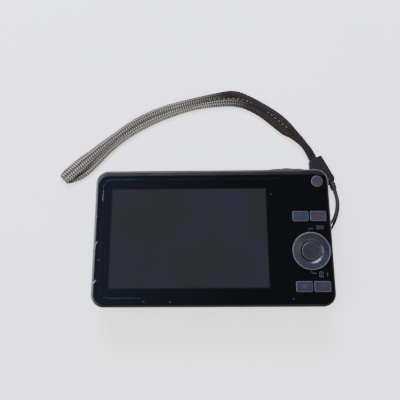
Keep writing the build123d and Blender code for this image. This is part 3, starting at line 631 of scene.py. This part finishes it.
# The rest, as darker and lighter tone, size of the blotches and of the grain in mm, relief in mm
# and the reach of the roughness. Metals carry a soft brushed sheen, rubbers and PVC stay flat and
# dull, hard plastics catch a broad highlight, and printed ink lies matt on the gloss round it.
topPlastic = moulded(
    "anodisedTopPlate", "242424", "2e2d2c", 5.0, 0.2, 0.004, (0.32, 0.42), IOR=1.5, Metallic=0.6
)
chromedTrim = moulded(
    "brushedTrimMetal", "8c8d8e", "a2a3a4", 4.0, 0.15, 0.004, (0.22, 0.32), Metallic=1.0
)
steel = moulded("stampedSteel", "9a9b9c", "b1b1b0", 3.0, 0.3, 0.005, (0.28, 0.42), Metallic=1.0)
barrelMetal = moulded(
    "turnedAluminium", "7d7e80", "939495", 4.0, 0.12, 0.004, (0.22, 0.34), Metallic=1.0
)
ringMetal = moulded(
    "satinLensRing", "6e6f72", "828387", 4.0, 0.12, 0.004, (0.24, 0.36), Metallic=1.0
)
darkAbs = moulded("mouldedAbs", "141516", "1e1f20", 2.5, 0.15, 0.008, (0.42, 0.56), IOR=1.52)
gearPlastic = moulded("acetalGears", "d8d4c8", "e6e2d6", 2.0, 0.2, 0.005, (0.35, 0.5), IOR=1.48)
brass = moulded("drawnBrass", "b08d45", "c8a55c", 2.0, 0.15, 0.004, (0.25, 0.4), Metallic=1.0)
rubber = moulded("siliconeRubber", "1b1b1c", "262627", 1.5, 0.12, 0.012, (0.6, 0.75), IOR=1.43)
whiteAbs = moulded("whiteAbs", "d9d9d6", "e8e8e5", 2.0, 0.15, 0.005, (0.38, 0.5), IOR=1.5)
sleeve = moulded("capacitorSleeve", "1d2226", "262d33", 3.0, 0.3, 0.006, (0.3, 0.42), IOR=1.5)
batteryWrap = moulded("shrinkWrap", "2c3034", "3a3f44", 6.0, 0.4, 0.006, (0.3, 0.45), IOR=1.5)
cardPlastic = moulded("cardAbs", "16243f", "1d3054", 4.0, 0.15, 0.005, (0.38, 0.5), IOR=1.5)
tabPvc = moulded(
    "softPvc", "0c0b09", "13120e", 1.8, 0.14, 0.02, (0.6, 0.78), IOR=1.52, Specular_IOR_Level=0.25
)
crimpMetal = moulded(
    "blackenedCrimp", "2c2a28", "3e3b38", 0.8, 0.1, 0.006, (0.32, 0.5), Metallic=0.8
)
printWhite = moulded("screenPrintInk", "2e2f33", "3a3b3f", 0.4, 0.08, 0.004, (0.5, 0.65), IOR=1.5)
printDim = moulded("dimScreenPrintInk", "2c3346", "384056", 0.4, 0.08, 0.004, (0.5, 0.65), IOR=1.5)
printRed = moulded("redPadPrintInk", "380d17", "4a121f", 0.4, 0.08, 0.004, (0.4, 0.55), IOR=1.5)
# the next two colours: pale dust, which also draws a painted glint along the window seam, and pale
# chips, which also draw a painted glint on the seam's left side
seamDustAndGlint = moulded("paleDustAndGlint", "14161c", "33363f", 1.6, 0.1, 0.02, (0.6, 0.8), IOR=1.5)
chipsAndGlint = moulded("rawChipsAndGlint", "4c4f5a", "8b8e96", 0.6, 0.1, 0.02, (0.3, 0.5), IOR=1.5)

# Clear and glassy pieces: sharp reflections, and light through the acrylic
clearAcrylic = moulded(
    "clearAcrylic",
    "e8eaec",
    "f2f3f4",
    2.0,
    0.3,
    0.002,
    (0.04, 0.08),
    IOR=1.49,
    Transmission_Weight=0.85,
)
coatedGlass = moulded(
    "coatedGlass", "141a2a", "1c1a2c", 3.0, 1.0, 0.001, (0.02, 0.05), IOR=1.62, Coat_Weight=0.6
)
sensorGlass = moulded("sensorGlass", "1a2420", "243028", 1.0, 0.3, 0.002, (0.08, 0.16), IOR=1.52)
displayGlass = moulded("displayGlass", "23232b", "2e2e38", 5.0, 0.5, 0.002, (0.1, 0.2), IOR=1.52)

# Solder mask over copper tracks: green and glossy, with the tracks as low steps
boardMask, tree, shader = newMaterial("glassEpoxyBoard", IOR=1.55)
at = objectPlace(tree)
tracks = addNode(
    tree,
    "ShaderNodeTexBrick",
    {
        "Vector": at,
        "Color1": linear("14502f"),
        "Color2": linear("1a5c38"),
        "Mortar": linear("2e7a4c"),
        "Scale": 1 / (4 * mm),
        "Mortar Size": 0.03,
    },
)
tree.links.new(tracks.outputs["Color"], shader.inputs["Base Color"])
tree.links.new(spread(tree, speckle(tree, at, 1.0), 0.28, 0.42), shader.inputs["Roughness"])
tree.links.new(relief(tree, tracks.outputs["Fac"], 0.03), shader.inputs["Normal"])

# Braided polyester: matt yarns, brown at both ends and silver-grey in between, with painted shade
# in the gaps between the yarns
bandFinish = {
    "silverLight": "b3ae99",
    "silverDark": "3a342a",
    "brownLight": "3a2a1b",
    "brownDark": "0f0804",
    "turnsAt": (54, 76),
    "returnsAt": (212, 232),
    "ramp": (0.25, 0.9),
}


def yarnTone(tree, factor, dark, light):
    low, high = bandFinish["ramp"]
    return ramp(tree, factor, [(low, linear(bandFinish[dark])), (high, linear(bandFinish[light]))])


bandFabric, tree, shader = newMaterial(
    "braidedPolyester", IOR=1.5, Specular_IOR_Level=0.2, Sheen_Weight=0.03, Sheen_Roughness=0.4
)
uv = addNode(tree, "ShaderNodeUVMap", uv_map="along")
alongBand = addNode(tree, "ShaderNodeSeparateXYZ", {"Vector": uv.outputs["UV"]})
u, v = alongBand.outputs["X"], alongBand.outputs["Y"]
zig = maths(tree, "PINGPONG", v, bandShape["column"])
slanted = maths(tree, "MULTIPLY_ADD", zig, bandShape["slope"], u)
phase = maths(tree, "DIVIDE", slanted, bandShape["pitch"] / (2 * pi))
stitch = maths(tree, "MULTIPLY_ADD", maths(tree, "SINE", phase), 0.5, 0.5)
columnPhase = maths(tree, "MULTIPLY", v, pi / bandShape["column"])
groove = maths(tree, "ABSOLUTE", maths(tree, "SINE", columnPhase))
# painted shade: the yarn tone darkens in the gaps between stitches and columns, over a random fibre
# tone
bead = maths(tree, "MULTIPLY", stitch, maths(tree, "POWER", groove, 0.7))
fibres = speckle(tree, objectPlace(tree), 0.6, 3.0)
yarnToneAndShade = maths(tree, "MULTIPLY_ADD", fibres, 0.5, maths(tree, "SUBTRACT", bead, 0.2))
silver = yarnTone(tree, yarnToneAndShade, "silverDark", "silverLight")
brown = yarnTone(tree, yarnToneAndShade, "brownDark", "brownLight")
turned = rescaled(tree, u, bandFinish["turnsAt"])
returned = rescaled(tree, u, bandFinish["returnsAt"])
silverShare = maths(tree, "SUBTRACT", turned, returned, clamp=True)
tree.links.new(blended(tree, silverShare, brown, silver), shader.inputs["Base Color"])
tree.links.new(spread(tree, stitch, 0.72, 0.55), shader.inputs["Roughness"])
threads = addNode(
    tree,
    "ShaderNodeTexWave",
    {"Vector": uv.outputs["UV"], "Scale": 6.0, "Distortion": 1.5, "Detail": 1.0},
    wave_type="BANDS",
    bands_direction="DIAGONAL",
)
tree.links.new(relief(tree, threads.outputs["Fac"], 0.02), shader.inputs["Normal"])
wristBand.data.materials.append(bandFabric)

# Braided nylon cord: dark brown and nearly matt, with fine slanting yarns and painted shade in the
# grooves between them
cordFinish = {"dark": "140c07", "light": "3d2b1e", "gloss": (0.55, 0.75)}
cordFabric, tree, shader = newMaterial(
    "braidedNylonCord", IOR=1.53, Specular_IOR_Level=0.25, Sheen_Weight=0.03, Sheen_Roughness=0.4
)
uv = addNode(tree, "ShaderNodeUVMap", uv_map="along")
braid = addNode(
    tree,
    "ShaderNodeTexWave",
    {"Vector": uv.outputs["UV"], "Scale": 1.6, "Distortion": 2.0, "Detail": 1.0},
    wave_type="BANDS",
    bands_direction="DIAGONAL",
)
# painted shade: the tone darkens where the braid's relief sinks
tone = ramp(
    tree,
    braid.outputs["Fac"],
    [(0.2, linear(cordFinish["dark"])), (0.85, linear(cordFinish["light"]))],
)
tree.links.new(tone, shader.inputs["Base Color"])
rough = spread(tree, speckle(tree, objectPlace(tree), 0.4), *cordFinish["gloss"])
tree.links.new(rough, shader.inputs["Roughness"])
tree.links.new(relief(tree, braid.outputs["Fac"], 0.04), shader.inputs["Normal"])
strapCord.data.materials.append(cordFabric)

# Edge stitches: a pale thread sewn along the brown stretch of the lower run
stitchShape = {
    "from": 214,
    "to": 252,
    "aside": 1.55,
    "rise": 1.15,
    "spacing": 2.1,
    "length": 1.3,
    "width": 0.36,
}


def stitchTree():
    tree = bpy.data.node_groups.new("threadStitches", "GeometryNodeTree")
    sockets = {
        "Geometry": "Geometry",
        "Spacing": "Float",
        "Length": "Float",
        "Width": "Float",
        "Thread": "Material",
    }
    for label, kind in sockets.items():
        tree.interface.new_socket(label, in_out="INPUT", socket_type="NodeSocket" + kind)
    tree.interface.new_socket("Geometry", in_out="OUTPUT", socket_type="NodeSocketGeometry")
    entry = addNode(tree, "NodeGroupInput").outputs
    line = addNode(tree, "GeometryNodeMeshToCurve", {"Mesh": entry["Geometry"]})
    steps = addNode(
        tree,
        "GeometryNodeResampleCurve",
        {"Curve": line.outputs[0], "Length": entry["Spacing"]},
        mode="LENGTH",
    )
    tangent = addNode(tree, "GeometryNodeInputTangent")
    aimed = addNode(
        tree, "FunctionNodeAlignRotationToVector", {"Vector": tangent.outputs[0]}, axis="X"
    )
    bead = addNode(tree, "GeometryNodeMeshUVSphere", {"Segments": 12, "Rings": 8, "Radius": 0.5})
    width = entry["Width"]
    size = addNode(tree, "ShaderNodeCombineXYZ", {"X": entry["Length"], "Y": width, "Z": width})
    sewn = addNode(
        tree,
        "GeometryNodeInstanceOnPoints",
        {
            "Points": steps.outputs[0],
            "Instance": bead.outputs["Mesh"],
            "Rotation": aimed.outputs[0],
            "Scale": size.outputs[0],
        },
    )
    real = addNode(tree, "GeometryNodeRealizeInstances", {"Geometry": sewn.outputs[0]})
    dyed = addNode(
        tree, "GeometryNodeSetMaterial", {"Geometry": real.outputs[0], "Material": entry["Thread"]}
    )
    addNode(tree, "NodeGroupOutput", {"Geometry": dyed.outputs[0]})
    return tree


def sewStitches(name, points, shape, thread):
    mesh = bpy.data.meshes.new(name + "Line")
    mesh.from_pydata([tuple(p) for p in points], [(i, i + 1) for i in range(len(points) - 1)], [])
    carrier = linkMesh(name + "Line", mesh)
    modifier = carrier.modifiers.new("stitches", "NODES")
    tree = stitchTree()
    values = {
        "Spacing": shape["spacing"] * mm,
        "Length": shape["length"] * mm,
        "Width": shape["width"] * mm,
        "Thread": thread,
    }
    modifier.node_group = tree
    for item in tree.interface.items_tree:
        if item.in_out == "INPUT" and item.name in values:
            modifier[item.identifier] = values[item.name]
    carrier.data.update()
    bpy.context.view_layer.update()
    settled = carrier.evaluated_get(bpy.context.evaluated_depsgraph_get())
    sewn = bpy.data.meshes.new_from_object(settled)
    bpy.data.objects.remove(carrier)
    sewn.shade_smooth()
    return linkMesh(name, sewn)


paleThread = moulded(
    "palePolyesterThread", "6b5f4e", "867863", 0.8, 0.1, 0.01, (0.55, 0.7), IOR=1.5
)
stitchLine = []
for index, point in enumerate(bandLine[1:-1], 1):
    distance = index * bandLength / mm / (len(bandLine) - 1)
    if stitchShape["from"] <= distance <= stitchShape["to"]:
        along = (bandLine[index + 1] - bandLine[index - 1]).normalized()
        side = Vector((0, 0, 1)).cross(along)
        rise = Vector((0, 0, stitchShape["rise"] * mm))
        stitchLine.append(point + side * stitchShape["aside"] * mm + rise)
edgeStitches = sewStitches("edgeStitches", stitchLine, stitchShape, paleThread)

finishes = {
    shellMetal: ["front_cover", "rear_cover"],
    windowAcrylic: ["rear_window"],
    panelAcrylic: ["rear_panel"],
    topPlastic: ["top_plate", "shutter_base"],
    chromedTrim: ["zoom_lever", "shutter_button", "power_button", "strap_eyelet"],
    steel: [
        "main_frame",
        "frame_screws",
        "case_screws",
        "battery_case",
        "usb_socket",
        "door_hinge_pin",
    ],
    displayGlass: ["lcd_module"],
    boardMask: ["key_board", "main_board", "release_board"],
    ringMetal: ["lens_ring"],
    darkAbs: [
        "lens_housing",
        "cam_ring",
        "upper_barrier_blade",
        "lower_barrier_blade",
        "battery_door",
        "door_latch",
        "battery_latch",
        "speaker",
    ],
    barrelMetal: ["outer_barrel", "middle_barrel", "inner_barrel", "zoom_motor"],
    coatedGlass: ["front_lens", "focus_group"],
    sensorGlass: ["image_sensor"],
    gearPlastic: ["reduction_gear", "motor_pinion"],
    brass: ["battery_contacts", "tripod_socket", "focus_guide_rods"],
    keyPlastic: [
        "movie_button",
        "playback_button",
        "camera_button",
        "menu_button",
        "option_button",
    ],
    ringPlastic: ["control_ring"],
    setPlastic: ["set_button"],
    rubber: ["ring_pad", "connector_cover"],
    clearAcrylic: ["flash_window", "af_lamp"],
    whiteAbs: ["flash_unit"],
    sleeve: ["flash_capacitor"],
    batteryWrap: ["battery"],
    cardPlastic: ["memory_card"],
    tabPvc: ["strap_tab"],
}
for material, names in finishes.items():
    for name in names:
        for materialSlot in nodes[name].material_slots:
            materialSlot.material = material
print("materials ready")


# Crimp: a turned bead with two pressed grooves, on the cord just past the tab

crimpShape = {
    "centre": (52.7, 23.6, 2.6),
    "aim": (0.20, -0.98, 0.05),
    "profile": [(-1.9, 0.0), (-1.9, 0.8), (-1.6, 1.25), (-0.9, 1.45), (-0.65, 1.2), (-0.4, 1.45),
                (0.4, 1.5), (0.65, 1.2), (0.9, 1.45), (1.6, 1.2), (1.9, 0.8), (1.9, 0.0)],
    "around": 40,
}


def turnedPiece(name, shape):
    aim = Vector(shape["aim"]).normalized()
    turn = aim.to_track_quat("Z", "Y").to_matrix()
    centre = place(*shape["centre"])
    vertices, faces = [], []
    around = shape["around"]
    for along, radius in shape["profile"][1:-1]:
        for step in range(around):
            angle = 2 * pi * step / around
            local = Vector((radius * cos(angle), radius * sin(angle), along))
            vertices.append(centre + turn @ local * mm)
    rings = len(shape["profile"]) - 2
    for ring in range(rings - 1):
        for step in range(around):
            a = ring * around + step
            b = ring * around + (step + 1) % around
            faces.append((a, b, b + around, a + around))
    faces.append(tuple(reversed(range(around))))
    faces.append(tuple((rings - 1) * around + step for step in range(around)))
    return meshFrom(name, vertices, faces)


strapCrimp = turnedPiece("strapCrimp", crimpShape)
strapCrimp.data.materials.append(crimpMetal)


# Printed marks, as thin films of ink on the panel and the keys

panelTop = 17.0
keyTop = 17.4
inkDepth = 0.02


def inkMark(name, shapes, centre, ink, body):
    x, y, z = centre
    vertices, faces = [], []
    for shape in shapes:
        area = sum(a[0] * b[1] - b[0] * a[1] for a, b in zip(shape, shape[1:] + shape[:1]))
        outline = shape if area > 0 else list(reversed(shape))
        first, count = len(vertices), len(outline)
        for level in (0.004, inkDepth):
            vertices += [place(x + px, y + py, z + level) for px, py in outline]
        faces.append(tuple(first + count + i for i in range(count)))
        faces.append(tuple(first + i for i in reversed(range(count))))
        for i in range(count):
            after = (i + 1) % count
            faces.append((first + i, first + after, first + count + after, first + count + i))
    piece = meshFrom(name, vertices, faces, smooth=False)
    piece.data.materials.append(ink)
    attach(piece, body)
    return piece


def dot(radius, count=32, centre=(0, 0)):
    angles = [2 * pi * i / count for i in range(count)]
    return [(centre[0] + radius * cos(a), centre[1] + radius * sin(a)) for a in angles]


def bar(x0, y0, x1, y1):
    return [(x0, y0), (x1, y0), (x1, y1), (x0, y1)]


def stroke(points, width):
    left, right = [], []
    for index, point in enumerate(points):
        ahead = Vector(points[min(index + 1, len(points) - 1)])
        behind = Vector(points[max(index - 1, 0)])
        along = (ahead - behind).normalized()
        side = Vector((-along.y, along.x)) * width / 2
        left.append(tuple(Vector(point) + side))
        right.append(tuple(Vector(point) - side))
    return left + right[::-1]


def arcPoints(radius, start, end, count=12, centre=(0, 0)):
    angles = [radians(start + (end - start) * i / (count - 1)) for i in range(count)]
    return [(centre[0] + radius * cos(a), centre[1] + radius * sin(a)) for a in angles]


frameMark = [bar(-1.45, 0.5, 1.45, 0.68), bar(-1.45, -0.68, 1.45, -0.5),
             bar(-1.45, -0.5, -1.27, 0.5), bar(1.27, -0.5, 1.45, 0.5),
             bar(-1.0, 0.1, 1.0, 0.3), bar(-1.0, -0.3, 1.0, -0.1)]
tickMark = [stroke(arcPoints(1.3, 140, 60), 0.28), [(-1.25, 0.35), (-0.55, 1.15), (-1.15, 1.3)]]
lowTickMark = [stroke([(-0.95, 0.6), (-0.7, 0.0), (-0.3, -0.2), (0.95, -0.2)], 0.28)]
binMark = [bar(-0.85, 0.75, 0.85, 1.0), bar(-0.3, 1.0, 0.3, 1.25), bar(-0.75, -1.05, -0.5, 0.7),
           bar(0.5, -1.05, 0.75, 0.7), bar(-0.5, -1.05, 0.5, -0.82), bar(-0.12, -0.7, 0.12, 0.5)]
boltMark = [[(0.25, 0.9), (-0.45, -0.1), (-0.05, -0.1), (-0.25, -0.9), (0.45, 0.15), (0.05, 0.15)]]
cameraMark = [bar(-1.7, -1.15, 1.7, -0.7), bar(-1.7, 0.65, 1.7, 1.05), bar(-1.7, -0.7, -1.2, 0.65),
              bar(1.2, -0.7, 1.7, 0.65), bar(-0.7, 1.05, 0.7, 1.35), dot(0.65)]
playMark = [stroke([(-0.5, 0.55), (0.6, 0.0), (-0.5, -0.55), (-0.5, 0.55)], 0.16)]
listMark = [bar(-0.9, 0.35, 0.9, 0.5), bar(-0.9, -0.08, 0.9, 0.08), bar(-0.9, -0.5, 0.9, -0.35)]
optionMark = [dot(0.2, 16, (-0.7, 0)), dot(0.2, 16), dot(0.2, 16, (0.7, 0))]

inkMark("backArrowMark", tickMark, (39.0, 1.45, panelTop), printWhite, "root")
inkMark("displayMark", frameMark, (42.3, 3.1, panelTop), printWhite, "root")
inkMark("lowerTickMark", lowTickMark, (38.9, -14.5, panelTop), printWhite, "root")
inkMark("binMark", binMark, (41.7, -15.2, panelTop), printWhite, "root")
inkMark("boltMark", boltMark, (44.0, -15.1, panelTop), printWhite, "root")
inkMark("movieMark", [dot(1.15)], (42.5, 21.75, keyTop), printRed, "movie_button")
inkMark("cameraMark", cameraMark, (41.9, 7.6, keyTop), printRed, "camera_button")
inkMark("playMark", playMark, (34.9, 7.65, keyTop), printDim, "playback_button")
inkMark("listMark", listMark, (34.9, -19.7, keyTop), printDim, "menu_button")
inkMark("optionMark", optionMark, (41.85, -19.7, keyTop), printDim, "option_button")
inkMark("indicatorLamp", [dot(0.24, 20)], (23.7, 16.7, panelTop), printWhite, "root")


# Wear and painted glints, as thin films like the marks: a pale line along the seam round the
# window, dust with a painted glint on it, a painted glint on the seam's left side, and pale chips
# on the panel's left edge

seamCorner = arcPoints(3.4, 176, 96, 14, (-40.4, 19.89))
# the seam lines are dust carrying a painted glint, the left-side stroke is a painted glint, and the
# specks are dust
seamMarks = {
    "seamGlintCorner": (
        [(-43.74, 13.6), (-43.74, 18.4)] + seamCorner + [(-39.0, 23.29), (-31.0, 23.29)],
        0.11,
        seamDustAndGlint,
    ),
    "seamGlint": ([(-43.74, 14.6), (-43.8, 16.2), (-43.72, 18.8)], 0.24, chipsAndGlint),
    "seamGlintLow": (
        [(-42.0, -23.4), (-40.0, -23.74), (-34.0, -23.72), (-27.5, -23.74)],
        0.13,
        seamDustAndGlint,
    ),
    "seamSpeckLow": ([(-26.6, -24.9), (-26.1, -25.2)], 0.32, seamDustAndGlint),
    "edgeSpeckLow": ([(-16.6, -25.2), (-15.9, -25.4)], 0.34, seamDustAndGlint),
    "seamSpeckRight": ([(30.3, -24.2), (30.9, -24.3)], 0.42, seamDustAndGlint),
}
for name, (line, width, dust) in seamMarks.items():
    inkMark(name, [stroke(line, width)], (0, 0, panelTop), dust, "root")
edgeChips = {
    "edgeChipMiddle": [(-46.1, -4.6), (-45.85, -4.6), (-45.8, -3.4), (-45.5, -2.7),
                       (-45.1, -2.2), (-45.3, -1.8), (-45.75, -2.4), (-46.05, -3.2)],
    "edgeChipLow": [(-46.1, -18.2), (-45.6, -18.0), (-45.2, -17.3), (-44.8, -16.6), (-45.15, -16.8),
                    (-45.6, -17.2), (-46.2, -17.5)],
    "edgeSpeckHigh": [(-46.1, 8.0), (-45.8, 7.9), (-45.7, 8.4), (-46.0, 8.6)],
    "edgeSpeckMiddle": [(-44.5, -9.2), (-44.25, -9.3), (-44.2, -8.9), (-44.45, -8.8)],
}
for name, outline in edgeChips.items():
    inkMark(name, [outline], (0, 0, panelTop), chipsAndGlint, "root")
print("marks ready")


# Which body each piece rides on

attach(wristBand, "root")
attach(edgeStitches, "root")
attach(strapCord, "root")
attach(strapCrimp, "root")
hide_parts("wrist_band")
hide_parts("strap_cord")
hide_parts("strap_crimp")
print("pieces on their bodies")


# Floor and lights

# White sweep: matt, and lit from itself so that it stays an even white to its edges
floorFinish = {"dark": "f3f3f2", "light": "fafaf9", "glow": 1.1, "half": 1.5}
floorMaterial, tree, shader = newMaterial(
    "paleFloor", Roughness=0.9, Emission_Color=(1, 1, 1, 1), Emission_Strength=floorFinish["glow"]
)
tone = ramp(
    tree,
    speckle(tree, objectPlace(tree), 60.0),
    [(0.3, linear(floorFinish["dark"])), (0.7, linear(floorFinish["light"]))],
)
tree.links.new(tone, shader.inputs["Base Color"])
half = floorFinish["half"]
floorCorners = [(-half, -half, 0), (half, -half, 0), (half, half, 0), (-half, half, 0)]
floorPiece = meshFrom("floor", floorCorners, [(0, 1, 2, 3)], smooth=False)
floorPiece.data.materials.append(floorMaterial)

# place in mm, size in metres, power and colour
softLights = {
    "keySoftbox": ((-60, 500, 430), (0.40, 0.26), 5.6, "f0f2f8"),
    "nearSoftbox": ((60, -560, 330), (0.9, 0.4), 2.6, "fffaf3"),
    "windowLight": ((-60, 480, 420), (0.16, 0.12), 2.6, "4462ff"),
    "leftSoftbox": ((-560, 0, 320), (0.4, 0.8), 5.0, "f4f7ff"),
    "rightSoftbox": ((560, -40, 300), (0.4, 0.8), 2.0, "f6f5f6"),
}
for name, (spot, size, power, colour) in softLights.items():
    light = bpy.data.lights.new(name, "AREA")
    light.shape = "RECTANGLE"
    light.size, light.size_y = size
    light.energy = power
    light.color = linear(colour)[:3]
    lamp = bpy.data.objects.new(name, light)
    scene.collection.objects.link(lamp)
    lamp.location = Vector(spot) * mm
    lamp.rotation_euler = (-Vector(spot)).to_track_quat("-Z", "Y").to_euler()

world = bpy.data.worlds.new("studioAir")
scene.world = world
world.use_nodes = True
tree = world.node_tree
tree.nodes.clear()
air = addNode(tree, "ShaderNodeBackground", {"Color": linear("c6cad4"), "Strength": 0.2})
addNode(tree, "ShaderNodeOutputWorld", {"Surface": air.outputs[0]})
print("lights ready")
